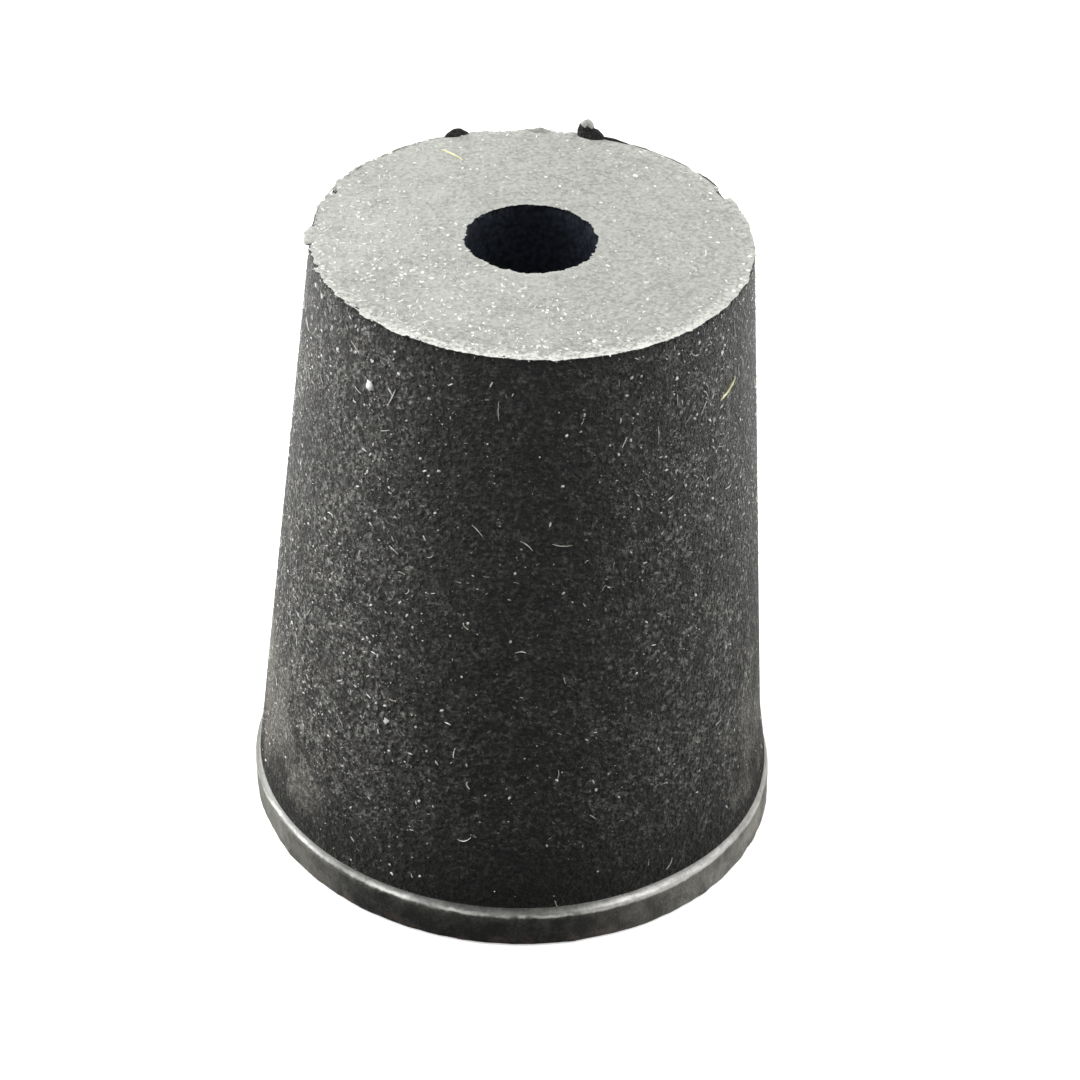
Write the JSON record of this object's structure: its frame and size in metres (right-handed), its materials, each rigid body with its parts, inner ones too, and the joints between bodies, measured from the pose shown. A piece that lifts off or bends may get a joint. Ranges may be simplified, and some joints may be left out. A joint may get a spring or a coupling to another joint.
{
  "type": "rubber stopper",
  "caption": "Tapered black rubber laboratory stopper with a raised lip round its large end and a straight hole from end to end, for closing a tube or flask neck round a glass tube.",
  "frame": {"origin": "centre of the large end's flat face, on which the stopper stands", "axes": "+Z along the hole from the large end to the small end; -Y towards the viewer of the picture, +X to the viewer's right"},
  "size_m": [0.0205, 0.0204, 0.0256],
  "materials": {
    "rubber": "matte moulded wall with fine grain, ground pale grey small end, satin lip"
  },
  "bodies": {
    "root": {"stopper": "rubber"}
  },
  "joints": []
}
